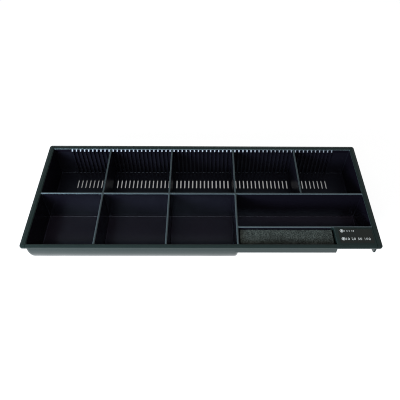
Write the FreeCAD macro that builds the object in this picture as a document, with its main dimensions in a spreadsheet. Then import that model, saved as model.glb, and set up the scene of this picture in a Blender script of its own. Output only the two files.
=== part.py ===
import FreeCAD, Part
import math
import os
import re

import Sketcher

# Coin tray with adjustable dividers.
# X runs along the tray, +Y points to its back row and +Z is up.
# The origin is the middle of the base, and lengths are in millimetres.

# Driving dimensions: alias, value, what it measures
SIZES = (
    ("rim_length", 376.0, "rim, outside, along X"),
    ("rim_depth", 151.0, "rim, outside, along Y"),
    ("tray_height", 44.0, "base to the top of the rim"),
    ("flange_thick", 2.5, "rim flange and corner panel"),
    ("rim_corner", 3.0, "corner radius of the rim"),
    ("rim_slope_width", 2.6, "outer band of the rim that slopes down"),
    ("rim_slope_drop", 0.7, "fall of that band"),
    ("side_flange", 6.0, "rim width at both ends"),
    ("back_flange", 6.2, "rim width at the back"),
    ("front_flange", 4.4, "rim width at the front"),
    ("wall_thick", 2.2, "outer walls and the wall of the long cell"),
    ("floor_thick", 2.2, "floor of the cells"),
    ("mid_wall_y", -1.8, "place of the wall between the rows"),
    ("mid_wall_thick", 2.4, "wall between the rows"),
    ("partition_thick", 2.2, "fixed partitions of the front row"),
    ("cell_pitch", 75.0, "spacing of the partitions"),
    ("long_cell_depth", 44.6, "long cell, front to back"),
    ("scoop_start", 9.5, "depth at which a front wall begins to curve"),
    ("outer_round", 4.0, "outer edges of the cells"),
    ("inner_round", 1.0, "edges inside the cells"),
    ("edge_round", 1.0, "top edges of the walls"),
    ("recess_length", 102.2, "foam recess along X"),
    ("recess_deep", 12.0, "foam recess below the rim"),
    ("recess_floor", 2.0, "floor of the foam recess"),
    ("recess_wall", 1.2, "end wall of the foam recess"),
    ("recess_round", 1.5, "outer edges of the foam recess"),
    ("web_front", 12.0, "corner web at the front, below the rim"),
    ("web_back", 20.0, "corner web at the long cell, below the rim"),
    ("web_inset", 1.0, "web's inner face, in from the side wall's"),
    ("web_root", 3.0, "fillet between the web and the panel"),
    ("label_margin", 1.2, "panel left free around the label"),
    ("label_end_gap", 4.0, "panel left free at the recess's end"),
    ("label_seat", 0.4, "depth of the seat of the label"),
    ("label_thick", 0.3, "thickness of the label"),
    ("comb_pitch", 5.0, "spacing of the ribs"),
    ("comb_margin", 20.0, "least distance from a side wall to the comb"),
    ("rib_depth", 1.8, "how far a rib stands out"),
    ("rib_drop", 0.1, "top of a rib below the rounded wall edge"),
    ("divider_thick", 2.0, "plate of a divider"),
    ("divider_drop", 1.0, "top of a divider below the rim"),
    ("divider_corner", 2.0, "lower corners of a divider"),
    ("divider_edge", 0.5, "rounding of a divider's top edge"),
    ("groove_clear", 0.5, "room on each side of a divider in its groove"),
    ("end_clear", 0.4, "room between a divider and the walls"),
    ("seat_clear", 0.2, "room under a loose piece"),
    ("slot_length", 14.5, "floor slot along Y"),
    ("slot_back_gap", 12.7, "floor slot to the back wall"),
    ("slot_round", 0.7, "corner radius of a floor slot"),
    ("tab_thick", 1.0, "tab of a divider"),
    ("tab_clear", 0.25, "room round a tab in its slot"),
    ("foam_thick", 8.8, "foam pad"),
    ("foam_end_gap", 1.6, "foam pad to the ends of its recess"),
    ("foam_side_gap", 0.4, "foam pad to the long sides of its recess"),
    ("foam_corner", 1.5, "corner radius of the foam pad"),
)

# Places worked out from the driving dimensions, as expression text
SIDE = "(rim_length / 2 - side_flange)"
SIDE_OUT = f"({SIDE} + wall_thick)"
BACK = "(rim_depth / 2 - back_flange)"
BACK_OUT = f"({BACK} + wall_thick)"
FRONT = "(front_flange - rim_depth / 2)"
FRONT_OUT = f"({FRONT} - wall_thick)"
MID_BACK = "(mid_wall_y + mid_wall_thick / 2)"
MID_FRONT = "(mid_wall_y - mid_wall_thick / 2)"
LONG_BACK = f"({MID_FRONT} - long_cell_depth)"
LONG_FRONT = f"({LONG_BACK} - wall_thick)"
LONG_MIDDLE = f"({LONG_BACK} - wall_thick / 2)"
SCOOP = "(tray_height - scoop_start)"
SCOOP_IN = f"({SCOOP} - floor_thick)"
FLANGE_LOW = "(tray_height - flange_thick)"
IN_FLANGE = "(tray_height - flange_thick / 2)"
ABOVE = "(tray_height + flange_thick)"
HALF_PARTITION = "(partition_thick / 2)"
RECESS_LEFT = f"(cell_pitch / 2 + {HALF_PARTITION})"
RECESS_RIGHT = f"({RECESS_LEFT} + recess_length)"
RECESS_LOW = "(tray_height - recess_deep)"
WEB_FACE = f"({SIDE} - web_inset)"
RECESS_OUT = f"({RECESS_LOW} - recess_floor)"
COMB_STEPS = f"floor(({SIDE} - comb_margin) / comb_pitch)"
COMB_HALF = f"({COMB_STEPS} * comb_pitch)"
RIB_WIDTH = "(comb_pitch - divider_thick - 2 * groove_clear)"
RIB_TOP = "(tray_height - edge_round - rib_drop)"
ROOT = "(floor_thick / 4)"
SLOT_BACK = f"({BACK} - slot_back_gap)"
SLOT_FRONT = f"({SLOT_BACK} - slot_length)"
SLOT_HALF = "(tab_thick / 2 + tab_clear)"
LABEL_LEFT = f"({RECESS_RIGHT} + label_end_gap)"
LABEL_RIGHT = f"({SIDE} - label_margin)"
LABEL_FRONT = f"({FRONT} + label_margin)"
LABEL_BACK = f"({LONG_FRONT} - label_margin)"
LABEL_LOW = "(tray_height - label_seat)"

# Cell pitches from the middle to each divider's groove
DIVIDERS = (
    ("divider_1", -1.5),
    ("divider_2", -0.5),
    ("divider_3", 0.5),
    ("divider_4", 1.5),
)

NEAR = 1e-3
ALIAS = re.compile(r"\b(" + "|".join(name for name, _, _ in SIZES) + r")\b")

doc = FreeCAD.newDocument("coin_tray")
sheet = doc.addObject("Spreadsheet::Sheet", "sizes")


def fill_sheet():
    """Write the driving dimensions, one row each, with their aliases."""
    for row, (name, value, note) in enumerate(SIZES, start=1):
        sheet.set(f"A{row}", note)
        sheet.set(f"B{row}", str(value))
        sheet.setAlias(f"B{row}", name)
    doc.recompute()


def bound(text):
    """Expression text with each alias read from the sheet."""
    return ALIAS.sub(r"sizes.\1", text)


def number(text):
    """Present value of expression text."""
    return float(sheet.evalExpression(bound(text)))


def new_body(label):
    """Empty body whose label names its file."""
    body = doc.addObject("PartDesign::Body", label)
    body.Label = label
    return body


def new_sketch(body, name, role, offset):
    """Sketch on an origin plane of the body, moved along the plane's normal."""
    sketch = body.newObject("Sketcher::SketchObject", name)
    plane = next(item for item in body.Origin.OriginFeatures if item.Role == role)
    sketch.AttachmentSupport = [(plane, "")]
    sketch.MapMode = "FlatFace"
    sketch.setExpression("AttachmentOffset.Base.z", bound(offset))
    return sketch


def arc_between(start, end, radius):
    """Arc that turns left from start to end, about a centre on its left."""
    chord = end - start
    reach = math.sqrt(radius ** 2 - chord.Length ** 2 / 4)
    left = FreeCAD.Vector(-chord.y, chord.x, 0).normalize()
    centre = (start + end) * 0.5 + left * reach
    first = math.atan2(start.y - centre.y, start.x - centre.x)
    last = math.atan2(end.y - centre.y, end.x - centre.x)
    if last < first:
        last += 2 * math.pi
    circle = Part.Circle(centre, FreeCAD.Vector(0, 0, 1), radius)
    return Part.ArcOfCircle(circle, first, last)


def constrain(sketch, constraint, text):
    """Add a dimension to a sketch and bind it to expression text."""
    place = sketch.addConstraint(constraint)
    sketch.setExpression(f"Constraints[{place}]", bound(text))


def draw(sketch, corners, arcs=None):
    """Close an outline that turns left through corners.

    arcs gives the radius of each side that is an arc, by the side's number.
    """
    arcs = arcs or {}
    base = sketch.GeometryCount
    count = len(corners)
    points = [FreeCAD.Vector(number(u), number(v), 0) for u, v in corners]
    for side in range(count):
        start = points[side]
        end = points[(side + 1) % count]
        if side in arcs:
            sketch.addGeometry(arc_between(start, end, number(arcs[side])))
        else:
            sketch.addGeometry(Part.LineSegment(start, end))
    for side, (u, v) in enumerate(corners):
        here = base + side
        after = base + (side + 1) % count
        sketch.addConstraint(Sketcher.Constraint("Coincident", here, 2, after, 1))
        constrain(sketch, Sketcher.Constraint("DistanceX", -1, 1, here, 1, number(u)), u)
        constrain(sketch, Sketcher.Constraint("DistanceY", -1, 1, here, 1, number(v)), v)
        if side in arcs:
            radius = arcs[side]
            constrain(sketch, Sketcher.Constraint("Radius", here, number(radius)), radius)


def rectangle(left, right, low, high):
    """Corners of a rectangle, turning left from its upper left one."""
    return ((left, high), (left, low), (right, low), (right, high))


def rounded_rectangle(left, right, low, high, radius):
    """Corners and arcs of a rectangle with rounded corners."""
    corners = (
        (left, f"{high} - {radius}"),
        (left, f"{low} + {radius}"),
        (f"{left} + {radius}", low),
        (f"{right} - {radius}", low),
        (right, f"{low} + {radius}"),
        (right, f"{high} - {radius}"),
        (f"{right} - {radius}", high),
        (f"{left} + {radius}", high),
    )
    return corners, {1: radius, 3: radius, 5: radius, 7: radius}


def scooped(front, back, low, high, radius):
    """Side view of a trough whose front wall curves into its floor."""
    corners = (
        (front, high),
        (front, f"{low} + {radius}"),
        (f"{front} + {radius}", low),
        (back, low),
        (back, high),
    )
    return corners, {1: radius}


def pad(body, sketch, length):
    """Extrude a sketch along its plane's normal."""
    feature = body.newObject("PartDesign::Pad", f"{sketch.Name}_pad")
    feature.Profile = sketch
    feature.setExpression("Length", bound(length))
    doc.recompute()
    return feature


def pocket(body, sketch, length, along_normal=False):
    """Cut a sketch's outline out of the body, against its plane's normal."""
    before = body.Shape.Volume
    feature = body.newObject("PartDesign::Pocket", f"{sketch.Name}_pocket")
    feature.Profile = sketch
    feature.Reversed = along_normal
    feature.setExpression("Length", bound(length))
    doc.recompute()
    if body.Shape.Volume > before - NEAR:
        raise ValueError(f"{sketch.Name} cuts nothing")
    return feature


def repeat(body, feature, name, length, count):
    """Repeat a feature along X."""
    axis = next(item for item in body.Origin.OriginFeatures if item.Role == "X_Axis")
    pattern = body.newObject("PartDesign::LinearPattern", name)
    pattern.Originals = [feature]
    pattern.Direction = (axis, [""])
    pattern.Refine = False
    pattern.setExpression("Length", bound(length))
    pattern.setExpression("Occurrences", bound(count))
    body.Tip = pattern
    doc.recompute()
    return pattern


def dress(body, kind, name, wanted):
    """Fillet or chamfer on the edges of the body that wanted accepts."""
    base = body.Tip
    names = []
    for place, edge in enumerate(base.Shape.Edges, start=1):
        if not edge.Degenerated and wanted(edge):
            names.append(f"Edge{place}")
    if not names:
        raise ValueError(f"{name} finds no edges")
    feature = body.newObject(kind, name)
    feature.Base = (base, names)
    return feature


def round_edges(body, name, radius, wanted):
    """Fillet the edges that wanted accepts."""
    feature = dress(body, "PartDesign::Fillet", name, wanted)
    feature.setExpression("Radius", bound(radius))
    doc.recompute()
    return feature


def combine(body, name, kind, tools):
    """Fuse other bodies with this one or cut them out of it."""
    join = body.newObject("PartDesign::Boolean", name)
    join.Type = kind
    join.setObjects(tools)
    body.Tip = join
    doc.recompute()


def samples(edge):
    """Start, middle and end of an edge."""
    first, last = edge.ParameterRange
    return [edge.valueAt(place) for place in (first, (first + last) / 2, last)]


def lies_at(edge, axis, text):
    """True if all of an edge lies at one place along an axis."""
    place = number(text)
    return all(abs(getattr(point, axis) - place) < NEAR for point in samples(edge))


def runs_along(edge, axis):
    """True if an edge is a straight line along an axis."""
    first, _, last = samples(edge)
    span = abs(getattr(last, axis) - getattr(first, axis))
    return abs(span - edge.Length) < NEAR


def make_shell(tray):
    """Outside of the back row and the long cell, one trough along the tray."""
    sketch = new_sketch(tray, "shell", "YZ_Plane", f"-{SIDE_OUT}")
    draw(sketch, *scooped(LONG_FRONT, BACK_OUT, "0", IN_FLANGE, SCOOP))
    pad(tray, sketch, f"2 * {SIDE_OUT}")

    def outer(edge):
        at_end = lies_at(edge, "x", SIDE_OUT) or lies_at(edge, "x", f"-{SIDE_OUT}")
        at_back = lies_at(edge, "y", BACK_OUT) and lies_at(edge, "z", "0")
        return (at_end or at_back) and not lies_at(edge, "z", IN_FLANGE)

    round_edges(tray, "shell_round", "outer_round", outer)


def make_front_cells(tray):
    """Outside of the three scooped cells at the front, joined to the tray."""
    trough = new_body("front_cells")
    sketch = new_sketch(trough, "front_trough", "YZ_Plane", f"-{SIDE_OUT}")
    draw(sketch, *scooped(FRONT_OUT, "mid_wall_y", "0", IN_FLANGE, SCOOP))
    pad(trough, sketch, f"{SIDE_OUT} + {RECESS_LEFT}")

    def outer(edge):
        at_end = lies_at(edge, "x", RECESS_LEFT) or lies_at(edge, "x", f"-{SIDE_OUT}")
        buried = lies_at(edge, "z", IN_FLANGE) or lies_at(edge, "y", "mid_wall_y")
        return at_end and not buried

    round_edges(trough, "front_round", "outer_round", outer)
    combine(tray, "front_join", "Fuse", [trough])


def make_recess_box(tray):
    """Outside of the shallow box for the foam pad."""
    sketch = new_sketch(tray, "recess_box", "YZ_Plane", "cell_pitch / 2")
    draw(sketch, *scooped(FRONT_OUT, LONG_MIDDLE, RECESS_OUT, IN_FLANGE, "recess_round"))
    pad(tray, sketch, f"{HALF_PARTITION} + recess_length + recess_wall")


def make_web(tray):
    """Thin web that carries the side wall on under the corner panel."""
    sketch = new_sketch(tray, "corner_web", "YZ_Plane", WEB_FACE)
    corners = (
        (FRONT_OUT, IN_FLANGE),
        (FRONT_OUT, "tray_height - web_front"),
        (LONG_BACK, "tray_height - web_back"),
        (LONG_BACK, IN_FLANGE),
    )
    draw(sketch, corners)
    pad(tray, sketch, "wall_thick")


def make_rim(tray):
    """Flange all round, whose outer band slopes down."""
    sketch = new_sketch(tray, "rim", "XY_Plane", FLANGE_LOW)
    half_x = "(rim_length / 2)"
    half_y = "(rim_depth / 2)"
    draw(sketch, *rounded_rectangle(f"-{half_x}", half_x, f"-{half_y}", half_y, "rim_corner"))
    pad(tray, sketch, "flange_thick")

    def top(edge):
        return lies_at(edge, "z", "tray_height")

    slope = dress(tray, "PartDesign::Chamfer", "rim_slope", top)
    slope.ChamferType = "Two distances"
    slope.FlipDirection = True
    slope.setExpression("Size", bound("rim_slope_width"))
    slope.setExpression("Size2", bound("rim_slope_drop"))
    doc.recompute()

    def web_root(edge):
        under = lies_at(edge, "x", WEB_FACE) and lies_at(edge, "z", FLANGE_LOW)
        return under and runs_along(edge, "y")

    round_edges(tray, "web_fillet", "web_root", web_root)


def cells():
    """Hollows of the tray: name, low X, high X, floor, outline in the side view."""
    floor = "floor_thick"
    front = scooped(FRONT, MID_FRONT, floor, ABOVE, SCOOP_IN)
    long = scooped(LONG_BACK, MID_FRONT, floor, ABOVE, SCOOP_IN)
    back = (rectangle(MID_BACK, BACK, floor, ABOVE), {})
    recess = (rectangle(FRONT, LONG_FRONT, RECESS_LOW, ABOVE), {})
    sides = []
    for pitches in (-1.5, -0.5, 0.5):
        sides.append(f"({pitches} * cell_pitch - {HALF_PARTITION})")
        sides.append(f"({pitches} * cell_pitch + {HALF_PARTITION})")
    return (
        ("back_row", f"-{SIDE}", SIDE, floor, back),
        ("front_cell_1", f"-{SIDE}", sides[0], floor, front),
        ("front_cell_2", sides[1], sides[2], floor, front),
        ("front_cell_3", sides[3], sides[4], floor, front),
        ("long_cell", sides[5], SIDE, floor, long),
        ("foam_recess", RECESS_LEFT, RECESS_RIGHT, RECESS_LOW, recess),
    )


def make_core(name, low, high, floor, outline):
    """Mould core of one hollow, with the hollow's rounded edges."""
    core = new_body(f"{name}_core")
    sketch = new_sketch(core, name, "YZ_Plane", low)
    draw(sketch, *outline)
    pad(core, sketch, f"{high} - {low}")
    walls = {u for u, v in outline[0] if v == ABOVE}

    def inner(edge):
        at_end = lies_at(edge, "x", low) or lies_at(edge, "x", high)
        at_wall = lies_at(edge, "z", floor) and any(lies_at(edge, "y", wall) for wall in walls)
        return (at_end or at_wall) and not lies_at(edge, "z", ABOVE)

    round_edges(core, f"{name}_edges", "inner_round", inner)
    return core


def cut_cells(tray):
    """Hollow out the cells, then round the top edges of the walls."""
    combine(tray, "hollows", "Cut", [make_core(*cell) for cell in cells()])

    def mouth(edge):
        middle = samples(edge)[1]
        inside = abs(middle.x) < number(SIDE) + NEAR and number(FRONT) - NEAR < middle.y < number(BACK) + NEAR
        return inside and lies_at(edge, "z", "tray_height")

    round_edges(tray, "mouth_edges", "edge_round", mouth)


def cut_slots(tray):
    """Row of floor slots, one between each two ribs, for the tabs of the dividers."""
    first = f"(comb_pitch / 2 - {COMB_HALF})"
    left = f"({first} - {SLOT_HALF})"
    right = f"({first} + {SLOT_HALF})"
    slots = new_sketch(tray, "slots", "XY_Plane", "0")
    draw(slots, *rounded_rectangle(left, right, SLOT_FRONT, SLOT_BACK, "slot_round"))
    slot = pocket(tray, slots, "2 * floor_thick", along_normal=True)
    repeat(tray, slot, "slot_row", f"2 * {COMB_HALF} - comb_pitch", f"2 * {COMB_STEPS}")


def add_comb(tray):
    """Facing rows of ribs on the back wall and the middle wall."""
    ribs = new_sketch(tray, "ribs", "YZ_Plane", f"-{COMB_HALF} - {RIB_WIDTH} / 2")
    low = f"(floor_thick - {ROOT})"
    back_rib = (
        (f"{BACK} - rib_depth", low),
        (f"{BACK} + {ROOT}", low),
        (f"{BACK} + {ROOT}", f"{RIB_TOP} + {ROOT}"),
        (f"{BACK} - rib_depth", f"{RIB_TOP} - rib_depth"),
    )
    mid_rib = (
        (f"{MID_BACK} - {ROOT}", low),
        (f"{MID_BACK} + rib_depth", low),
        (f"{MID_BACK} + rib_depth", f"{RIB_TOP} - rib_depth"),
        (f"{MID_BACK} - {ROOT}", f"{RIB_TOP} + {ROOT}"),
    )
    draw(ribs, back_rib)
    draw(ribs, mid_rib)
    rib = pad(tray, ribs, RIB_WIDTH)
    repeat(tray, rib, "comb", f"2 * {COMB_HALF}", f"2 * {COMB_STEPS} + 1")


def cut_label_seat(tray):
    """Shallow seat for the label on the corner panel."""
    sketch = new_sketch(tray, "label_seat", "XY_Plane", "tray_height")
    draw(sketch, rectangle(LABEL_LEFT, LABEL_RIGHT, LABEL_FRONT, LABEL_BACK))
    pocket(tray, sketch, "label_seat")


def make_tray():
    """One moulding: rim, cells, partitions, comb and foam recess."""
    tray = new_body("tray")
    make_shell(tray)
    make_front_cells(tray)
    make_recess_box(tray)
    make_web(tray)
    make_rim(tray)
    cut_cells(tray)
    cut_label_seat(tray)
    cut_slots(tray)
    add_comb(tray)
    return tray


def make_label():
    """Thin stick-on label on the corner panel."""
    label = new_body("corner_label")
    sketch = new_sketch(label, "label_outline", "XY_Plane", LABEL_LOW)
    inset = "(label_seat - label_thick)"
    draw(sketch, rectangle(
        f"{LABEL_LEFT} + {inset}",
        f"{LABEL_RIGHT} - {inset}",
        f"{LABEL_FRONT} + {inset}",
        f"{LABEL_BACK} - {inset}",
    ))
    pad(label, sketch, "label_thick")
    return label


def make_divider(name, pitches):
    """Loose plate that stands in facing grooves, with a tab in a floor slot."""
    divider = new_body(name)
    middle = f"((floor({pitches} * cell_pitch / comb_pitch) + 0.5) * comb_pitch)"
    front = f"({MID_BACK} + end_clear)"
    back = f"({BACK} - end_clear)"
    low = "(floor_thick + seat_clear)"
    high = "(tray_height - divider_drop)"
    plate = new_sketch(divider, f"{name}_plate", "YZ_Plane", f"{middle} - divider_thick / 2")
    corners = (
        (front, high),
        (front, f"{low} + divider_corner"),
        (f"{front} + divider_corner", low),
        (f"{back} - divider_corner", low),
        (back, f"{low} + divider_corner"),
        (back, high),
    )
    draw(plate, corners, {1: "divider_corner", 3: "divider_corner"})
    pad(divider, plate, "divider_thick")

    def top(edge):
        return lies_at(edge, "z", high) and runs_along(edge, "y")

    round_edges(divider, f"{name}_top", "divider_edge", top)
    tab = new_sketch(divider, f"{name}_tab", "YZ_Plane", f"{middle} - tab_thick / 2")
    draw(tab, rectangle(
        f"{SLOT_FRONT} + tab_clear",
        f"{SLOT_BACK} - tab_clear",
        "seat_clear",
        f"{low} + seat_clear",
    ))
    pad(divider, tab, "tab_thick")
    return divider


def make_foam():
    """Foam pad that lies in the shallow recess at the front."""
    foam = new_body("foam_pad")
    sketch = new_sketch(foam, "foam_outline", "XY_Plane", f"{RECESS_LOW} + seat_clear")
    draw(sketch, *rounded_rectangle(
        f"({RECESS_LEFT} + foam_end_gap)",
        f"({RECESS_RIGHT} - foam_end_gap)",
        f"({FRONT} + foam_side_gap)",
        f"({LONG_FRONT} - foam_side_gap)",
        "foam_corner",
    ))
    pad(foam, sketch, "foam_thick")
    return foam


def check(nodes):
    """Stop on a failed feature or a shape that is not one valid solid."""
    doc.recompute()
    for item in doc.Objects:
        if "Invalid" in item.State or "Error" in item.State:
            raise ValueError(f"{item.Label} failed: {item.State}")
    for node in nodes:
        shape = node.Shape
        if shape.isNull() or not shape.isValid() or len(shape.Solids) != 1:
            raise ValueError(f"{node.Label} is not one valid solid")


def main():
    """Build every piece and write its STEP file."""
    fill_sheet()
    nodes = [make_tray(), make_label(), make_foam()]
    nodes.extend(make_divider(name, pitches) for name, pitches in DIVIDERS)
    check(nodes)
    os.makedirs("parts", exist_ok=True)
    for node in nodes:
        node.Shape.exportStep(f"parts/{node.Label}.step")


main()
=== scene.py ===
import logging
import math
from dataclasses import dataclass
from enum import Enum
from typing import Any, NamedTuple, Optional, Sequence, Union

import bmesh
import bpy
from mathutils import Matrix, Vector, noise


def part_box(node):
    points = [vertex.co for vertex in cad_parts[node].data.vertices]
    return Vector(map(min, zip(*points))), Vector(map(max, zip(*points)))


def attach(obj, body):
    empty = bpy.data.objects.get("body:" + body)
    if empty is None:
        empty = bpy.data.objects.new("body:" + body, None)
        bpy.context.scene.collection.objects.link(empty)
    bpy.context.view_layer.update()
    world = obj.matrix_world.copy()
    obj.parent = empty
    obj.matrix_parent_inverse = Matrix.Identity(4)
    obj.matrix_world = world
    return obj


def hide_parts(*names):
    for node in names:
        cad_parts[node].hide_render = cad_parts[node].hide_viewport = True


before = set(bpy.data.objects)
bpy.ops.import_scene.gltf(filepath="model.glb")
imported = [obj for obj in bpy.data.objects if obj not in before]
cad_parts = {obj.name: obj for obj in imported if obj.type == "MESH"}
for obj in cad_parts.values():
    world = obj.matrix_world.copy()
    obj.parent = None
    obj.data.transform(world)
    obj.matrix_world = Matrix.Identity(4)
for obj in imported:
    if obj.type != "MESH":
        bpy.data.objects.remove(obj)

# Coin tray with lift-out dividers, a finger sponge and a printed corner label.
# Lengths are in metres in the tray's own frame: X along it, +Y to the back row, +Z up.

log = logging.getLogger("coin_tray")

MM = 0.001
MERGE = 1e-7
ROUND_PROFILE = 0.5
WHITE = "#FFFFFF"

Socket = bpy.types.NodeSocket
Tree = bpy.types.NodeTree
Value = Union[float, int, bool, tuple, Socket]
Colour = tuple[float, float, float, float]
Point = tuple[float, float, float]
Span = tuple[float, float]


class Body(Enum):
    """Bodies that the new pieces ride on."""

    TRAY = "tray"
    SPONGE = "foam_pad"


class Zone(Enum):
    """Which nodes of the frame take a finish."""

    MOULDING = ("tray",)
    PLATES = ("divider_1", "divider_2", "divider_3", "divider_4")
    LABEL = ("corner_label",)


def linear(hex_colour: str) -> Colour:
    """Turn an sRGB hex colour into linear RGBA.

    Args:
        hex_colour: six hex digits, with or without a leading hash.

    Returns:
        Linear red, green and blue, and an alpha of 1.
    """
    digits = hex_colour.lstrip("#")
    channels = []
    for start in (0, 2, 4):
        part = int(digits[start:start + 2], 16) / 255
        channels.append(part / 12.92 if part <= 0.04045 else ((part + 0.055) / 1.055) ** 2.4)
    return (*channels, 1.0)


def per_metre(size_mm: float) -> float:
    """Texture scale of a pattern that is about this many millimetres across."""
    return 1.0 / (size_mm * MM)


def add(
    tree: Tree,
    kind: str,
    inputs: Optional[dict[Any, Value]] = None,
    stops: Sequence[tuple[float, Colour]] = (),
    **settings: Any,
) -> bpy.types.Node:
    """Add a node, with its settings and its sockets' values or links.

    Args:
        tree: node tree to add to.
        kind: Blender's name of the node type.
        inputs: socket name or number, to a value or a socket to link from.
        stops: positions and colours of a ramp, its two ends first.
        settings: properties of the node.

    Returns:
        The new node.
    """
    node = tree.nodes.new(kind)
    for key, value in settings.items():
        setattr(node, key, value)
    for key, value in (inputs or {}).items():
        if isinstance(value, Socket):
            tree.links.new(value, node.inputs[key])
        else:
            node.inputs[key].default_value = value
    for order, (position, colour) in enumerate(stops):
        marks = node.color_ramp.elements
        mark = marks[order] if order < len(marks) else marks.new(position)
        mark.position = position
        mark.color = colour
    return node


def new_material(name: str) -> tuple[bpy.types.Material, Tree]:
    """Make an empty node material.

    Args:
        name: the real material and how it was made.

    Returns:
        The material and its node tree.
    """
    material = bpy.data.materials.new(name)
    material.use_nodes = True
    material.node_tree.nodes.clear()
    return material, material.node_tree


@dataclass(frozen=True)
class Pattern:
    """Noise pattern: how large it is, how many finer layers it has and how strong they are."""

    size_mm: float
    detail: float
    roughness: float = 0.5

    def at(self, place: Socket) -> dict[str, Value]:
        """Inputs of a noise texture with this pattern.

        Args:
            place: place in the tray's frame.

        Returns:
            Socket names and their values.
        """
        return {
            "Vector": place,
            "Scale": per_metre(self.size_mm),
            "Detail": self.detail,
            "Roughness": self.roughness,
        }


class Masks(NamedTuple):
    """Zones of the moulding: each socket is 1 in its zone and 0 elsewhere."""

    rim: Socket
    inside: Socket
    satin: Socket
    row: Socket
    rib_tops: Socket
    painted_lit_floor: Socket
    painted_shade: Socket


@dataclass(frozen=True)
class MouldedAbs:
    """Injection-moulded black ABS: near black, polished in the cells and satin on the rim.

    The polished cells mirror each other softly, and the rim has the fine grain of a spark-eroded tool.
    """

    name: str
    cell_colour: str
    scratch_colour: str
    rim_colour: str
    # Light grey of the wall tops in the mouth, a painted highlight
    top_highlight_colour: str
    cell_roughness: float
    smear_roughness: float
    rim_roughness: float
    rim_level: float
    row_roughness: float

    # Satin rim, the mouth inside it (half length, front, back) and the corner panel's inner edges
    rim_fade: Span = (-0.25 * MM, 0.15 * MM)
    rim_spread: float = 0.06
    rim_sheen: str = "#D6EDF1"
    inside: Point = (182.05 * MM, -71.4 * MM, 69.6 * MM)
    panel: Span = (138.0 * MM, -49.5 * MM)

    # Rounded shell around the scooped cells and the long cell
    long_cell_start: float = 38.0 * MM
    scoop_centres: Span = (-38.8 * MM, -15.3 * MM)
    scoop_level: float = 34.5 * MM
    shell_middle: float = 33.4 * MM
    recess_level: float = 31.0 * MM

    # Back row, its comb of ribs, and the groove bottoms and side edges whose reflection is turned down as
    # painted shade
    row_start: float = 2.0 * MM
    row_fade: float = 1.0 * MM
    row_top: float = 40.0 * MM
    top_fade: float = 2.0 * MM
    ribs_start: float = 60.0 * MM
    comb_pitch: float = 5.0 * MM
    comb_half: float = 161.5 * MM
    rib_share: float = 0.13
    groove_bottom: float = 69.3 * MM
    groove_slack: float = 0.25 * MM
    side_edge: float = 182.4 * MM
    edge_slack: float = 0.45 * MM

    # Front cells' floors, painted lighter as painted light: in full up to the first height, fading out by
    # the second
    lit_floor_full: float = 2.6 * MM
    lit_floor_fade: float = 7.0 * MM
    lit_floor_colour: str = "#251F29"

    # Surface: tool grain, smears, hairline scratches and gloss, which is turned down for painted shade and
    # up for a painted highlight
    grain: Pattern = Pattern(size_mm=0.7, detail=2.0, roughness=0.6)
    grain_range: Span = (0.3, 0.7)
    grain_strength: float = 0.05
    grain_depth: float = 0.05 * MM
    smear: Pattern = Pattern(size_mm=26.0, detail=4.0, roughness=0.55)
    smear_range: Span = (0.35, 0.7)
    scratch: Pattern = Pattern(size_mm=0.5, detail=1.0)
    scratch_range: Span = (0.66, 0.80)
    scratch_stretch: Point = (1.0, 0.05, 0.4)
    scratch_turn: float = 0.12
    polish: float = 0.08
    gloss: float = 0.5
    shade_gloss: float = 0.1
    glint_gloss: float = 1.0
    ior: float = 1.53
    sheen_colour: str = "#D6EAFF"

    def material(self) -> bpy.types.Material:
        """Build the material.

        Returns:
            The finished material.
        """
        material, tree = new_material(self.name)
        place = add(tree, "ShaderNodeTexCoord").outputs["Object"]
        axes = add(tree, "ShaderNodeSeparateXYZ", {"Vector": place}).outputs
        masks = self._masks(tree, axes)

        # Grain of the tool, drawn coarser than the real one so that it shows
        grain = add(tree, "ShaderNodeTexNoise", self.grain.at(place)).outputs["Fac"]
        bump = add(tree, "ShaderNodeBump", {
            "Height": grain, "Strength": self.grain_strength, "Distance": self.grain_depth,
        }).outputs["Normal"]
        sheen = add(tree, "ShaderNodeMixRGB", {
            "Fac": masks.satin, "Color1": linear(self.sheen_colour), "Color2": linear(self.rim_sheen),
        }).outputs["Color"]
        # Painted shade: the reflection is turned down in the grooves and on the mouth's side edges
        gloss = add(tree, "ShaderNodeMapRange", {
            "Value": masks.painted_shade, "To Min": self.gloss, "To Max": self.shade_gloss,
        }).outputs["Result"]
        # Painted highlight: the reflection is turned up on the rib tops' polished strips
        gloss = add(tree, "ShaderNodeMix", {
            "Factor": masks.rib_tops, "A": gloss, "B": self.glint_gloss,
        }, data_type="FLOAT").outputs["Result"]
        shader = add(tree, "ShaderNodeBsdfPrincipled", {
            "Base Color": self._colour(tree, place, masks),
            "Roughness": self._roughness(tree, place, masks, grain),
            "IOR": self.ior, "Specular IOR Level": gloss, "Specular Tint": sheen, "Normal": bump,
        }).outputs["BSDF"]
        add(tree, "ShaderNodeOutputMaterial", {"Surface": shader})
        return material

    def _colour(self, tree: Tree, place: Socket, masks: Masks) -> Socket:
        """Colour of the plastic: near black in the cells and greyer where it is satin; the wall tops in the
        mouth carry a painted highlight, and the front cells' floors are painted lighter as painted light.

        Args:
            tree: node tree of the material.
            place: place in the tray's frame.
            masks: the moulding's zones.

        Returns:
            A socket with the colour.
        """
        # Hairline scratches along the way in which the cells are emptied
        swept = add(tree, "ShaderNodeMapping", {
            "Vector": place, "Scale": self.scratch_stretch, "Rotation": (0.0, 0.0, self.scratch_turn),
        }).outputs["Vector"]
        hairs = add(tree, "ShaderNodeTexNoise", self.scratch.at(swept)).outputs["Fac"]
        scratched = add(tree, "ShaderNodeValToRGB", {"Fac": hairs}, stops=(
            (self.scratch_range[0], linear(self.cell_colour)),
            (self.scratch_range[1], linear(self.scratch_colour)),
        )).outputs["Color"]

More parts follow.
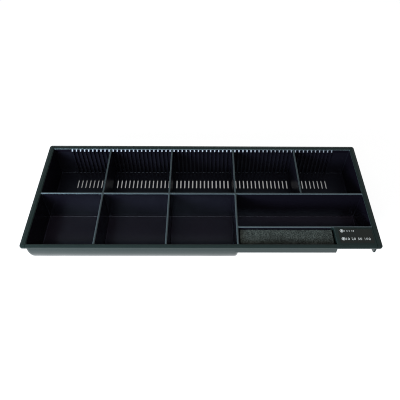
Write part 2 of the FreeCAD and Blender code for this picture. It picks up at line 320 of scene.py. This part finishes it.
        # Painted light: the floors of the front cells are painted lighter, as if lit more than the back
        # row's floor
        cell = add(tree, "ShaderNodeMixRGB", {
            "Fac": masks.painted_lit_floor, "Color1": scratched, "Color2": linear(self.lit_floor_colour),
        }).outputs["Color"]
        # Painted highlight: the wall tops in the mouth are painted light grey, standing in for the light
        # that their rounded edges catch
        top = add(tree, "ShaderNodeMixRGB", {
            "Fac": masks.inside, "Color1": linear(self.rim_colour), "Color2": linear(self.top_highlight_colour),
        }).outputs["Color"]
        return add(tree, "ShaderNodeMixRGB", {
            "Fac": masks.satin, "Color1": cell, "Color2": top,
        }).outputs["Color"]

    def _roughness(self, tree: Tree, place: Socket, masks: Masks, grain: Socket) -> Socket:
        """Roughness of the plastic: low in the cells, higher in the back row and on the rim.

        Args:
            tree: node tree of the material.
            place: place in the tray's frame.
            masks: the moulding's zones.
            grain: grain of the tool.

        Returns:
            A socket with the roughness.
        """
        # Soft smears left by hands, a few centimetres across
        smear = add(tree, "ShaderNodeTexNoise", self.smear.at(place)).outputs["Fac"]
        rough = add(tree, "ShaderNodeMapRange", {
            "Value": smear, "From Min": self.smear_range[0], "From Max": self.smear_range[1],
            "To Min": self.cell_roughness, "To Max": self.smear_roughness,
        }).outputs["Result"]
        rim_rough = add(tree, "ShaderNodeMapRange", {
            "Value": grain, "From Min": self.grain_range[0], "From Max": self.grain_range[1],
            "To Min": self.rim_roughness - self.rim_spread, "To Max": self.rim_roughness + self.rim_spread,
        }).outputs["Result"]

        # The plates dull the back row where they are lifted and set down, and polish the rib tops
        for mask, zone_rough in (
            (masks.row, self.row_roughness),
            (masks.rib_tops, self.polish),
            (masks.rim, rim_rough),
        ):
            rough = add(tree, "ShaderNodeMix", {
                "Factor": mask, "A": rough, "B": zone_rough,
            }, data_type="FLOAT").outputs["Result"]
        return rough

    def _masks(self, tree: Tree, axes: Any) -> Masks:
        """Masks of the moulding's zones.

        Args:
            tree: node tree of the material.
            axes: outputs with the place along X, Y and Z.

        Returns:
            The masks, by name.
        """
        rim = add(tree, "ShaderNodeMapRange", {
            "Value": axes["Z"],
            "From Min": self.rim_level + self.rim_fade[0], "From Max": self.rim_level + self.rim_fade[1],
        }, interpolation_type="SMOOTHSTEP").outputs["Result"]
        inside = self._inside(tree, axes)
        outer = add(tree, "ShaderNodeMath", {0: 1.0, 1: inside}, operation="SUBTRACT").outputs["Value"]
        satin = add(tree, "ShaderNodeMath", {0: rim, 1: outer}, operation="MAXIMUM").outputs["Value"]
        behind, below, low = (
            add(tree, "ShaderNodeMapRange", {
                "Value": axes[axis], "From Min": start, "From Max": end,
            }).outputs["Result"]
            for axis, start, end in (
                ("Y", self.row_start, self.row_start + self.row_fade),
                ("Z", self.row_top, self.row_top - self.top_fade),
                ("Z", self.lit_floor_fade, self.lit_floor_full),
            )
        )
        row = add(tree, "ShaderNodeMath", {0: behind, 1: inside}, operation="MULTIPLY").outputs["Value"]
        # The front cells' floors: low and ahead of the back row, where the floor is painted lighter as
        # painted light
        above, painted_lit_floor = (
            add(tree, "ShaderNodeMath", {
                0: whole, 1: rest,
            }, operation="SUBTRACT", use_clamp=True).outputs["Value"]
            for whole, rest in ((row, below), (low, behind))
        )
        rib_tops = self._rib_tops(tree, axes, above)
        return Masks(rim, inside, satin, row, rib_tops, painted_lit_floor, self._painted_shade_mask(tree, axes))

    def _painted_shade_mask(self, tree: Tree, axes: Any) -> Socket:
        """Mask of painted shade, where the reflection is turned down: the groove bottoms at the back and the
        mouth's side edges.

        Args:
            tree: node tree of the material.
            axes: outputs with the place along X, Y and Z.

        Returns:
            A socket that is 1 in the grooves and on those edges.
        """
        across = add(tree, "ShaderNodeMath", {0: axes["X"]}, operation="ABSOLUTE").outputs["Value"]
        comb = add(tree, "ShaderNodeMath", {
            0: across, 1: self.comb_half,
        }, operation="LESS_THAN").outputs["Value"]
        bottom = add(tree, "ShaderNodeMath", {
            0: axes["Y"], 1: self.groove_bottom, 2: self.groove_slack,
        }, operation="COMPARE").outputs["Value"]
        groove = add(tree, "ShaderNodeMath", {0: comb, 1: bottom}, operation="MULTIPLY").outputs["Value"]
        edge = add(tree, "ShaderNodeMath", {
            0: across, 1: self.side_edge, 2: self.edge_slack,
        }, operation="COMPARE").outputs["Value"]
        return add(tree, "ShaderNodeMath", {0: groove, 1: edge}, operation="MAXIMUM").outputs["Value"]

    def _rib_tops(self, tree: Tree, axes: Any, above: Socket) -> Socket:
        """Mask of what the plates polish, which also carries a painted highlight: the middle of each rib's
        sloped top and the back wall's edge.

        Args:
            tree: node tree of the material.
            axes: outputs with the place along X, Y and Z.
            above: mask of the back row's upper edge.

        Returns:
            A socket that is 1 on the polished strips.
        """
        # Ribs stand at whole steps, so that half a step puts a rib in the middle of its step
        half_step = 0.5
        steps = add(tree, "ShaderNodeMath", {
            0: axes["X"], 1: 1 / self.comb_pitch, 2: half_step,
        }, operation="MULTIPLY_ADD").outputs["Value"]
        part = add(tree, "ShaderNodeMath", {0: steps}, operation="FRACT").outputs["Value"]
        middle = add(tree, "ShaderNodeMath", {
            0: part, 1: half_step, 2: self.rib_share,
        }, operation="COMPARE").outputs["Value"]
        wall = add(tree, "ShaderNodeMath", {
            0: axes["Y"], 1: self.groove_bottom - self.groove_slack,
        }, operation="GREATER_THAN").outputs["Value"]
        strip = add(tree, "ShaderNodeMath", {0: middle, 1: wall}, operation="MAXIMUM").outputs["Value"]
        back = add(tree, "ShaderNodeMath", {
            0: axes["Y"], 1: self.ribs_start,
        }, operation="GREATER_THAN").outputs["Value"]
        top = add(tree, "ShaderNodeMath", {0: back, 1: above}, operation="MULTIPLY").outputs["Value"]
        return add(tree, "ShaderNodeMath", {0: strip, 1: top}, operation="MULTIPLY").outputs["Value"]

    def _inside(self, tree: Tree, axes: Any) -> Socket:
        """Mask of the mouth, whose wall tops carry a painted highlight in grey: inside the rim, without the
        corner panel.

        Args:
            tree: node tree of the material.
            axes: outputs with the place along X, Y and Z.

        Returns:
            A socket that is 1 in the mouth and 0 on the rim and on the shell's outside.
        """
        half, front, back = self.inside
        panel_left, panel_back = self.panel
        across = add(tree, "ShaderNodeMath", {0: axes["X"]}, operation="ABSOLUTE").outputs["Value"]
        sides, after, before, right, ahead = (
            add(tree, "ShaderNodeMath", {0: value, 1: limit}, operation=test).outputs["Value"]
            for value, limit, test in (
                (across, half, "LESS_THAN"),
                (axes["Y"], front, "GREATER_THAN"),
                (axes["Y"], back, "LESS_THAN"),
                (axes["X"], panel_left, "GREATER_THAN"),
                (axes["Y"], panel_back, "LESS_THAN"),
            )
        )
        along = add(tree, "ShaderNodeMath", {0: after, 1: before}, operation="MULTIPLY").outputs["Value"]
        walls = add(tree, "ShaderNodeMath", {0: sides, 1: along}, operation="MULTIPLY").outputs["Value"]
        corner = add(tree, "ShaderNodeMath", {0: right, 1: ahead}, operation="MULTIPLY").outputs["Value"]
        mouth = add(tree, "ShaderNodeMath", {
            0: walls, 1: corner,
        }, operation="SUBTRACT", use_clamp=True).outputs["Value"]
        return add(tree, "ShaderNodeMath", {
            0: mouth, 1: self._hollow(tree, axes),
        }, operation="MULTIPLY").outputs["Value"]

    def _hollow(self, tree: Tree, axes: Any) -> Socket:
        """Mask of the shell's hollow side, parted from its outside by the middle of the curved wall.

        Args:
            tree: node tree of the material.
            axes: outputs with the place along X, Y and Z.

        Returns:
            A socket that is 1 in the cells and the recess and 0 on the shell's outside.
        """
        beside = add(tree, "ShaderNodeMath", {
            0: axes["X"], 1: self.long_cell_start,
        }, operation="GREATER_THAN").outputs["Value"]
        centre = add(tree, "ShaderNodeMapRange", {
            "Value": beside, "To Min": self.scoop_centres[0], "To Max": self.scoop_centres[1],
        }).outputs["Result"]
        offsets = {}
        for axis, middle in (("Y", centre), ("Z", self.scoop_level)):
            offset = add(tree, "ShaderNodeMath", {
                0: axes[axis], 1: middle,
            }, operation="SUBTRACT").outputs["Value"]
            offsets[axis] = add(tree, "ShaderNodeMath", {
                0: offset, 1: 0.0,
            }, operation="MINIMUM").outputs["Value"]
        radius = add(tree, "ShaderNodeVectorMath", {
            0: add(tree, "ShaderNodeCombineXYZ", offsets).outputs["Vector"],
        }, operation="LENGTH").outputs["Value"]
        cells = add(tree, "ShaderNodeMath", {
            0: radius, 1: self.shell_middle,
        }, operation="LESS_THAN").outputs["Value"]
        high = add(tree, "ShaderNodeMath", {
            0: axes["Z"], 1: self.recess_level,
        }, operation="GREATER_THAN").outputs["Value"]
        recess = add(tree, "ShaderNodeMath", {0: beside, 1: high}, operation="MULTIPLY").outputs["Value"]
        return add(tree, "ShaderNodeMath", {0: cells, 1: recess}, operation="MAXIMUM").outputs["Value"]


@dataclass(frozen=True)
class CellFoam:
    """Open-cell sponge: dull dark grey, with pores of about a millimetre that hold shadow."""

    name: str
    skin_colour: str
    pore_shade_colour: str
    front_shade_colour: str
    shade_front_edge: float
    shade_reach: float = 10.5 * MM
    pore_mm: float = 1.2
    pore_range: Span = (0.07, 0.41)
    pore_strength: float = 0.7
    pore_depth: float = 0.5 * MM
    patch: Pattern = Pattern(size_mm=1.9, detail=5.0, roughness=0.7)
    damp: Pattern = Pattern(size_mm=14.0, detail=1.0)
    damp_range: Span = (0.4, 0.65)
    damp_share: float = 0.35
    roughness: float = 0.95
    gloss: float = 0.25
    ior: float = 1.4

    def material(self) -> bpy.types.Material:
        """Build the material.

        Returns:
            The finished material.
        """
        material, tree = new_material(self.name)
        place = add(tree, "ShaderNodeTexCoord").outputs["Object"]
        pores = add(tree, "ShaderNodeTexVoronoi", {
            "Vector": place, "Scale": per_metre(self.pore_mm), "Randomness": 1.0,
        }).outputs["Distance"]
        patches = add(tree, "ShaderNodeTexNoise", self.patch.at(place)).outputs["Fac"]
        depth = add(tree, "ShaderNodeMath", {0: pores, 1: patches}, operation="MULTIPLY").outputs["Value"]
        # Painted shade: the pores take the darker colour, for the shadow that they hold
        shade = add(tree, "ShaderNodeValToRGB", {"Fac": depth}, stops=(
            (self.pore_range[0], linear(self.pore_shade_colour)),
            (self.pore_range[1], linear(self.skin_colour)),
        )).outputs["Color"]

        # Painted shade darkens the top towards its front edge, and damp darkens it in patches
        across = add(tree, "ShaderNodeSeparateXYZ", {"Vector": place}).outputs["Y"]
        front_shade = add(tree, "ShaderNodeMapRange", {
            "Value": across, "From Min": self.shade_front_edge + self.shade_reach, "From Max": self.shade_front_edge,
        }).outputs["Result"]
        damp = add(tree, "ShaderNodeMapRange", {
            "Value": add(tree, "ShaderNodeTexNoise", self.damp.at(place)).outputs["Fac"],
            "From Min": self.damp_range[0], "From Max": self.damp_range[1], "To Max": self.damp_share,
        }).outputs["Result"]
        dark = add(tree, "ShaderNodeMath", {
            0: front_shade, 1: damp,
        }, operation="ADD", use_clamp=True).outputs["Value"]
        colour = add(tree, "ShaderNodeMixRGB", {
            "Fac": dark, "Color1": shade, "Color2": linear(self.front_shade_colour),
        }, blend_type="MULTIPLY").outputs["Color"]
        bump = add(tree, "ShaderNodeBump", {
            "Height": depth, "Strength": self.pore_strength, "Distance": self.pore_depth,
        }).outputs["Normal"]
        shader = add(tree, "ShaderNodeBsdfPrincipled", {
            "Base Color": colour, "Roughness": self.roughness, "IOR": self.ior,
            "Specular IOR Level": self.gloss, "Normal": bump,
        }).outputs["BSDF"]
        add(tree, "ShaderNodeOutputMaterial", {"Surface": shader})
        return material


@dataclass(frozen=True)
class PrintedFilm:
    """Matt polyester film or the ink on it: an even, dull sheet with a faint speckle."""

    name: str
    colour: str
    speckle_colour: str
    roughness: float
    speckle: Pattern = Pattern(size_mm=0.9, detail=3.0, roughness=0.6)
    speckle_range: Span = (0.35, 0.7)
    speckle_strength: float = 0.1
    speckle_depth: float = 0.03 * MM
    ior: float = 1.5

    def material(self) -> bpy.types.Material:
        """Build the material.

        Returns:
            The finished material.
        """
        material, tree = new_material(self.name)
        place = add(tree, "ShaderNodeTexCoord").outputs["Object"]
        speckle = add(tree, "ShaderNodeTexNoise", self.speckle.at(place)).outputs["Fac"]
        shade = add(tree, "ShaderNodeValToRGB", {"Fac": speckle}, stops=(
            (self.speckle_range[0], linear(self.colour)),
            (self.speckle_range[1], linear(self.speckle_colour)),
        )).outputs["Color"]
        bump = add(tree, "ShaderNodeBump", {
            "Height": speckle, "Strength": self.speckle_strength, "Distance": self.speckle_depth,
        }).outputs["Normal"]
        shader = add(tree, "ShaderNodeBsdfPrincipled", {
            "Base Color": shade, "Roughness": self.roughness, "IOR": self.ior, "Normal": bump,
        }).outputs["BSDF"]
        add(tree, "ShaderNodeOutputMaterial", {"Surface": shader})
        return material


TRAY_ABS = MouldedAbs(
    name="black_abs_moulded_tray",
    cell_colour="#120F17",
    scratch_colour="#1E1B24",
    rim_colour="#1D2825",
    top_highlight_colour="#464F52",
    cell_roughness=0.19,
    smear_roughness=0.27,
    rim_roughness=0.42,
    rim_level=43.1 * MM,
    row_roughness=0.38,
)
# The plates' top band is painted the same light grey as a painted highlight
PLATE_ABS = MouldedAbs(
    name="black_abs_moulded_divider",
    cell_colour="#120F17",
    scratch_colour="#1E1B24",
    rim_colour="#3F484A",
    top_highlight_colour="#3F484A",
    cell_roughness=0.18,
    smear_roughness=0.26,
    rim_roughness=0.34,
    rim_level=42.6 * MM,
    row_roughness=0.34,
)
SPONGE_FOAM = CellFoam(
    name="polyurethane_foam_cut",
    skin_colour="#565C57",
    pore_shade_colour="#232724",
    front_shade_colour="#8E8E8E",
    shade_front_edge=-70.7 * MM,
)
LABEL_FILM = PrintedFilm(
    name="polyester_film_matt_black",
    colour="#181C19",
    speckle_colour="#232722",
    roughness=0.55,
)
WHITE_INK = PrintedFilm(
    name="white_ink_printed",
    colour="#E4E4DF",
    speckle_colour="#F2F2EE",
    roughness=0.6,
)


def dress(zone: Zone, finish: MouldedAbs | PrintedFilm) -> None:
    """Give one finish to every node of a zone.

    Args:
        zone: the nodes to dress.
        finish: the finish that they share.
    """
    material = finish.material()
    for node in zone.value:
        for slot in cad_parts[node].material_slots:
            slot.material = material
        log.info("dressed %s in %s", node, finish.name)


def block(low: Vector, high: Vector) -> bmesh.types.BMesh:
    """Make a plain block.

    Args:
        low: its lowest corner.
        high: its highest corner.

    Returns:
        The block.
    """
    shape = bmesh.new()
    bmesh.ops.create_cube(shape, size=1.0)
    bmesh.ops.scale(shape, vec=high - low, verts=shape.verts)
    bmesh.ops.translate(shape, vec=(high + low) / 2, verts=shape.verts)
    return shape


def soften(shape: bmesh.types.BMesh, edges: list[bmesh.types.BMEdge], reach: float, steps: int) -> None:
    """Round some edges of a form.

    Args:
        shape: the form, changed in place.
        edges: the edges to round.
        reach: how far the rounding reaches from each edge.
        steps: number of flats in the rounding.
    """
    bmesh.ops.bevel(
        shape, geom=edges, offset=reach, offset_type="OFFSET", affect="EDGES",
        segments=steps, profile=ROUND_PROFILE, material=-1, clamp_overlap=True,
    )


def piece_from(shape: bmesh.types.BMesh, name: str, material: bpy.types.Material) -> bpy.types.Object:
    """Turn a bmesh into a piece at the origin.

    Args:
        shape: the finished form, which is freed.
        name: name of the piece.
        material: its material.

    Returns:
        The new object, linked to the scene.
    """
    mesh = bpy.data.meshes.new(name)
    shape.to_mesh(mesh)
    shape.free()
    mesh.materials.append(material)
    piece = bpy.data.objects.new(name, mesh)
    bpy.context.scene.collection.objects.link(piece)
    return piece


@dataclass
class Sponge:
    """Foam pad for a fingertip, loose in its recess at the front."""

    low: Vector
    high: Vector
    corner: float = 1.5 * MM
    corner_steps: int = 4
    edge: float = 0.5 * MM
    edge_steps: int = 3
    flat_normal: float = 0.9
    under_normal: float = -0.5
    cell: float = 1.1 * MM
    lumps: float = 0.28 * MM
    lump_sizes: Span = (1.7 * MM, 4.0 * MM)
    dents: float = 0.35 * MM

    def build(self) -> bpy.types.Object:
        """Model the pad: a cut block with soft edges, a slightly dished top and a coarse skin.

        Returns:
            The pad, which stands for the plain solid.
        """
        shape = block(self.low, self.high)
        upright = [
            edge for edge in shape.edges
            if abs(edge.verts[0].co.z - edge.verts[1].co.z) > self.edge
        ]
        soften(shape, upright, self.corner, self.corner_steps)
        rim = [
            edge for edge in shape.edges
            if edge.is_manifold and any(abs(face.normal.z) > self.flat_normal for face in edge.link_faces)
        ]
        soften(shape, rim, self.edge, self.edge_steps)
        self._slice(shape)
        self._roughen(shape)
        for face in shape.faces:
            face.smooth = True
        pad = piece_from(shape, "sponge", SPONGE_FOAM.material())
        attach(pad, Body.SPONGE.value)
        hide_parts("foam_pad")
        return pad

    def _slice(self, shape: bmesh.types.BMesh) -> None:
        """Cut the block into a fine net, so that its skin can be lumpy.

        Args:
            shape: the block, changed in place.
        """
        for axis in range(3):
            normal = Vector((0.0, 0.0, 0.0))
            normal[axis] = 1.0
            span = self.high[axis] - self.low[axis]
            steps = max(2, round(span / self.cell))
            for step in range(1, steps):
                point = self.low.copy()
                point[axis] += span * step / steps
                bmesh.ops.bisect_plane(
                    shape, geom=shape.verts[:] + shape.edges[:] + shape.faces[:],
                    dist=MERGE, plane_co=point, plane_no=normal,
                )

    def _roughen(self, shape: bmesh.types.BMesh) -> None:
        """Press the skin in by small lumps and a wide dish, never outwards.

        Args:
            shape: the sliced block, changed in place.
        """
        shape.normal_update()
        middle = (self.high + self.low) / 2
        half = (self.high - self.low) / 2
        moves = []
        for vert in shape.verts:
            small, wide = (noise.noise(vert.co / size) for size in self.lump_sizes)
            depth = self.lumps * (1 - (small + wide) / 2) / 2
            across = (vert.co.y - middle.y) / half.y
            along = (vert.co.x - middle.x) / half.x
            dish = self.dents * max(0.0, vert.normal.z) * (1 - across ** 2) * (1 - along ** 4)
            under = vert.normal.z < self.under_normal
            moves.append(0.0 if under else -(depth + dish))
        for vert, move in zip(shape.verts, moves):
            vert.co += vert.normal * move


@dataclass
class CornerFill:
    """Moulded corner that makes the front flush where the scooped cells meet the sponge's box."""

    low: Point = (34.6 * MM, -73.3 * MM, 30.0 * MM)
    high: Point = (37.5 * MM, -71.7 * MM, 41.5 * MM)
    lower_round: float = 1.5 * MM
    round_steps: int = 4
    near: float = 0.15 * MM

    def build(self) -> bpy.types.Object:
        """Model the corner with the section of the sponge's box.

        Returns:
            The corner, in the tray's own plastic.
        """
        shape = block(Vector(self.low), Vector(self.high))
        front = self.low[1] + self.near
        bottom = self.low[2] + self.near
        lower = [
            edge for edge in shape.edges
            if all(vert.co.y < front and vert.co.z < bottom for vert in edge.verts)
        ]
        soften(shape, lower, self.lower_round, self.round_steps)
        corner = piece_from(shape, "front_corner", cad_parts["tray"].material_slots[0].material)
        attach(corner, Body.TRAY.value)
        return corner


@dataclass(frozen=True)
class PrintRow:
    """One row of the print: its numbers, its left end, its middle line and the height of its figures."""

    numbers: str
    left: float
    middle: float
    height: float


LABEL_ROWS = (
    PrintRow(numbers="1 2 5 10", left=146.6 * MM, middle=-54.1 * MM, height=1.9 * MM),
    PrintRow(numbers="10 20 50 100", left=146.7 * MM, middle=-64.4 * MM, height=2.9 * MM),
)


@dataclass
class LabelPrint:
    """White marks on the corner label: a disc and plain numbers in each of two rows."""

    rows: tuple[PrintRow, ...]
    top: float
    disc: float = 3.9 * MM
    disc_sides: int = 40
    ring: float = 0.45 * MM
    ring_gap: float = 0.4 * MM
    film: float = 0.02 * MM
    gap: float = 0.9 * MM
    face_scale: float = 1.45
    spacing: float = 1.18
    curve_steps: int = 3

    def build(self, material: bpy.types.Material) -> list[bpy.types.Object]:
        """Make each row's disc and numbers.

        Args:
            material: the ink.

        Returns:
            The printed pieces.
        """
        pieces = []
        for order, row in enumerate(self.rows, start=1):
            centre = Vector((row.left + self.disc / 2, row.middle, self.top))
            start = Vector((row.left + self.disc + self.gap, row.middle, self.top))
            pieces.append(self._disc(f"label_disc_{order}", centre, material))
            pieces.append(self._numbers(f"label_numbers_{order}", row, start, material))
        for piece in pieces:
            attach(piece, Body.TRAY.value)
        return pieces

    def _disc(self, name: str, centre: Vector, material: bpy.types.Material) -> bpy.types.Object:
        """Disc sign: a filled disc inside a thin ring.

        Args:
            name: name of the piece.
            centre: middle of the sign, on the label.
            material: the ink.

        Returns:
            The sign.
        """
        shape = bmesh.new()
        bmesh.ops.create_circle(shape, cap_ends=True, segments=self.disc_sides, radius=self.disc / 2)
        inner = bmesh.ops.inset_individual(shape, faces=shape.faces[:], thickness=self.ring, depth=0.0)
        ring = set(inner["faces"])
        core = [face for face in shape.faces if face not in ring]
        gap = bmesh.ops.inset_individual(shape, faces=core, thickness=self.ring_gap, depth=0.0)
        bmesh.ops.delete(shape, geom=gap["faces"], context="FACES")
        self._thicken(shape)
        bmesh.ops.translate(shape, vec=centre, verts=shape.verts)
        return piece_from(shape, name, material)

    def _numbers(
        self, name: str, row: PrintRow, start: Vector, material: bpy.types.Material
    ) -> bpy.types.Object:
        """Plain numbers in the built-in face, made a mesh.

        Args:
            name: name of the piece.
            row: the row that they belong to.
            start: left end of the line, at half its height.
            material: the ink.

        Returns:
            The numbers.
        """
        curve = bpy.data.curves.new(name, type="FONT")
        curve.body = row.numbers
        curve.size = row.height * self.face_scale
        curve.space_character = self.spacing
        curve.resolution_u = self.curve_steps
        holder = bpy.data.objects.new(f"{name}_outline", curve)
        bpy.context.scene.collection.objects.link(holder)
        flat = bpy.data.meshes.new_from_object(holder)
        bpy.data.objects.remove(holder)
        shape = bmesh.new()
        shape.from_mesh(flat)
        bpy.data.meshes.remove(flat)
        bmesh.ops.remove_doubles(shape, verts=shape.verts, dist=MERGE)
        low = min(vert.co.y for vert in shape.verts)
        high = max(vert.co.y for vert in shape.verts)
        first = min(vert.co.x for vert in shape.verts)
        self._thicken(shape)
        bmesh.ops.translate(shape, vec=start - Vector((first, (low + high) / 2, 0.0)), verts=shape.verts)
        return piece_from(shape, name, material)

    def _thicken(self, shape: bmesh.types.BMesh) -> None:
        """Give flat print the thickness of its ink, standing on the label.

        Args:
            shape: the flat print, changed in place.
        """
        raised = bmesh.ops.extrude_face_region(shape, geom=shape.faces[:])
        tops = [item for item in raised["geom"] if isinstance(item, bmesh.types.BMVert)]
        bmesh.ops.translate(shape, vec=(0.0, 0.0, self.film), verts=tops)
        bmesh.ops.recalc_face_normals(shape, faces=shape.faces[:])


@dataclass(frozen=True)
class SoftBox:
    """Area lamp: where it stands, what it faces, its width and height, its power and its colour."""

    name: str
    place: Point
    aim: Point
    size: Span
    watts: float
    colour: str = WHITE

    def build(self) -> None:
        """Set the lamp up, turned to what it faces."""
        light = bpy.data.lights.new(self.name, type="AREA")
        light.shape = "RECTANGLE"
        light.size, light.size_y = self.size
        light.energy = self.watts
        light.color = linear(self.colour)[:3]
        lamp = bpy.data.objects.new(self.name, light)
        lamp.location = self.place
        toward = Vector(self.aim) - Vector(self.place)
        lamp.rotation_euler = toward.to_track_quat("-Z", "Y").to_euler()
        bpy.context.scene.collection.objects.link(lamp)


@dataclass
class Studio:
    """Pale floor, soft light and the camera of the photograph."""

    # Camera, with its angles in degrees
    focal_px: float = 457.85
    frame_px: float = 400.0
    middle_px: float = 210.03
    pitch: float = 50.264
    roll: float = -1.094
    yaw: float = -1.244
    eye: Point = (1.58 * MM, -339.46 * MM, 438.13 * MM)
    sensor_mm: float = 36.0
    clip_start: float = 10.0 * MM
    filter_px: float = 1.0

    # Floor, its glow, and the tray's base on it, under which the glow is cut down as painted shadow
    floor_half: float = 4.0
    floor_level: float = -0.2 * MM
    paper_colour: str = "#8C8C8C"
    floor_lift: float = 0.89
    painted_shadow_lift: float = 0.28
    base_middle: Span = (0.0, 10.0 * MM)
    base_half: Span = (165.0 * MM, 53.0 * MM)
    base_fade: float = 5.0 * MM

    # Room: its light, and the brightness of backdrop and ceiling by height, the two ends first
    room_light: float = 0.28
    walls: tuple[Span, ...] = ((0.12, 1.0), (1.0, 0.2), (0.30, 0.16), (0.62, 0.12), (0.80, 0.23))

    # Lamps: a row of soft boxes, by place along X and power, and one low in front
    key_row: tuple[Span, ...] = ((-0.65, 3.2), (-0.05, 2.5), (0.55, 1.35))
    key_line: Span = (-1.07, 1.22)
    key_size: Span = (0.6, 0.16)
    front: SoftBox = SoftBox(
        name="front", place=(-0.50, -0.60, 0.29), aim=(0.0, 0.0, 0.0),
        size=(0.5, 0.2), watts=9.5, colour="#D8EEFF",
    )

    def build(self) -> None:
        """Set up floor, world, lamps, camera and view."""
        self._floor()
        self._world()
        for order, (along, watts) in enumerate(self.key_row, start=1):
            SoftBox(f"key_{order}", (along, *self.key_line), (along, 0.0, 0.0), self.key_size, watts).build()
        self.front.build()
        self._camera()
        bpy.context.scene.view_settings.view_transform = "Standard"
        bpy.context.scene.cycles.filter_width = self.filter_px

    @staticmethod
    def _seen(tree: Tree) -> Socket:
        """Mask of the rays by which the camera sees straight, in a mirror or through glass.

        Args:
            tree: node tree of the floor or the room.

        Returns:
            A socket that is 1 for those rays.
        """
        path = add(tree, "ShaderNodeLightPath")
        both = add(tree, "ShaderNodeMath", {
            0: path.outputs["Is Camera Ray"], 1: path.outputs["Is Glossy Ray"],
        }, operation="MAXIMUM").outputs["Value"]
        return add(tree, "ShaderNodeMath", {
            0: both, 1: path.outputs["Is Transmission Ray"],
        }, operation="MAXIMUM").outputs["Value"]

    def _floor(self) -> None:
        """Lay a white sweep of paper that keeps the tray's shadow, partly real and partly painted shadow
        where its glow is cut down under the tray.
        """
        shape = bmesh.new()
        bmesh.ops.create_grid(shape, x_segments=1, y_segments=1, size=self.floor_half)
        bmesh.ops.translate(shape, vec=(0.0, 0.0, self.floor_level), verts=shape.verts)
        material, tree = new_material("white_paper_sweep")
        paper = add(tree, "ShaderNodeBsdfDiffuse", {"Color": linear(self.paper_colour)}).outputs["BSDF"]
        lift = add(tree, "ShaderNodeMath", {
            0: self._seen(tree), 1: self._paper_glow(tree),
        }, operation="MULTIPLY").outputs["Value"]
        glow = add(tree, "ShaderNodeEmission", {
            "Color": linear(WHITE), "Strength": lift,
        }).outputs["Emission"]
        both = add(tree, "ShaderNodeAddShader", {0: paper, 1: glow}).outputs["Shader"]
        add(tree, "ShaderNodeOutputMaterial", {"Surface": both})
        piece_from(shape, "floor", material)

    def _paper_glow(self, tree: Tree) -> Socket:
        """Paper's glow: full around the tray and low under it, a painted shadow.

        Args:
            tree: node tree of the floor.

        Returns:
            A socket with the brightness.
        """
        place = add(tree, "ShaderNodeTexCoord").outputs["Object"]
        axes = add(tree, "ShaderNodeSeparateXYZ", {"Vector": place}).outputs
        clear = []
        for axis, middle, half in zip("XY", self.base_middle, self.base_half):
            offset = add(tree, "ShaderNodeMath", {
                0: axes[axis], 1: middle,
            }, operation="SUBTRACT").outputs["Value"]
            away = add(tree, "ShaderNodeMath", {0: offset}, operation="ABSOLUTE").outputs["Value"]
            clear.append(add(tree, "ShaderNodeMapRange", {
                "Value": away, "From Min": half - self.base_fade, "From Max": half + self.base_fade,
            }).outputs["Result"])
        outside = add(tree, "ShaderNodeMath", {
            0: clear[0], 1: clear[1],
        }, operation="MAXIMUM").outputs["Value"]
        return add(tree, "ShaderNodeMapRange", {
            "Value": outside, "To Min": self.painted_shadow_lift, "To Max": self.floor_lift,
        }).outputs["Result"]

    def _world(self) -> None:
        """Set up a room with a white backdrop and a dim ceiling, which lights evenly."""
        world = bpy.data.worlds.new("white_room")
        world.use_nodes = True
        tree = world.node_tree
        tree.nodes.clear()
        toward = add(tree, "ShaderNodeTexCoord").outputs["Generated"]
        height = add(tree, "ShaderNodeSeparateXYZ", {"Vector": toward}).outputs["Z"]
        walls = add(tree, "ShaderNodeValToRGB", {"Fac": height}, stops=[
            (position, (level, level, level, 1.0)) for position, level in self.walls
        ]).outputs["Color"]
        strength = add(tree, "ShaderNodeMix", {
            "Factor": self._seen(tree), "A": self.room_light, "B": walls,
        }, data_type="FLOAT").outputs["Result"]
        room = add(tree, "ShaderNodeBackground", {"Color": linear(WHITE), "Strength": strength})
        add(tree, "ShaderNodeOutputWorld", {"Surface": room.outputs["Background"]})
        bpy.context.scene.world = world

    def _camera(self) -> None:
        """Set up the camera at the photograph's angle, distance and framing."""
        pitch = math.radians(self.pitch)
        turn = Matrix.Rotation(math.radians(self.yaw), 3, "Z")
        right = turn @ Vector((1.0, 0.0, 0.0))
        ahead = turn @ Vector((0.0, math.cos(pitch), -math.sin(pitch)))
        down = turn @ Vector((0.0, -math.sin(pitch), -math.cos(pitch)))
        roll = math.radians(self.roll)
        across = math.cos(roll) * right + math.sin(roll) * down
        below = math.cos(roll) * down - math.sin(roll) * right
        axes = Matrix((across, -below, -ahead)).transposed()
        data = bpy.data.cameras.new("photograph")
        data.sensor_width = self.sensor_mm
        data.lens = self.focal_px / self.frame_px * self.sensor_mm
        data.shift_x = (self.frame_px / 2 - self.middle_px) / self.frame_px
        data.clip_start = self.clip_start
        camera = bpy.data.objects.new("photograph", data)
        camera.matrix_world = Matrix.Translation(self.eye) @ axes.to_4x4()
        bpy.context.scene.collection.objects.link(camera)
        bpy.context.scene.camera = camera


def main() -> None:
    """Dress the tray, add the sponge, the front corner and the print, and set up the studio."""
    logging.basicConfig(level=logging.INFO)
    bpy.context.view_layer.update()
    dress(Zone.MOULDING, TRAY_ABS)
    dress(Zone.PLATES, PLATE_ABS)
    dress(Zone.LABEL, LABEL_FILM)
    sponge = Sponge(*(Vector(corner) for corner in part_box("foam_pad"))).build()
    corner = CornerFill().build()
    label_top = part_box("corner_label")[1][2]
    marks = LabelPrint(LABEL_ROWS, label_top).build(WHITE_INK.material())
    for piece in (sponge, corner, *marks):
        log.info("built %s", piece.name)
    Studio().build()


if __name__ == "__main__":
    main()
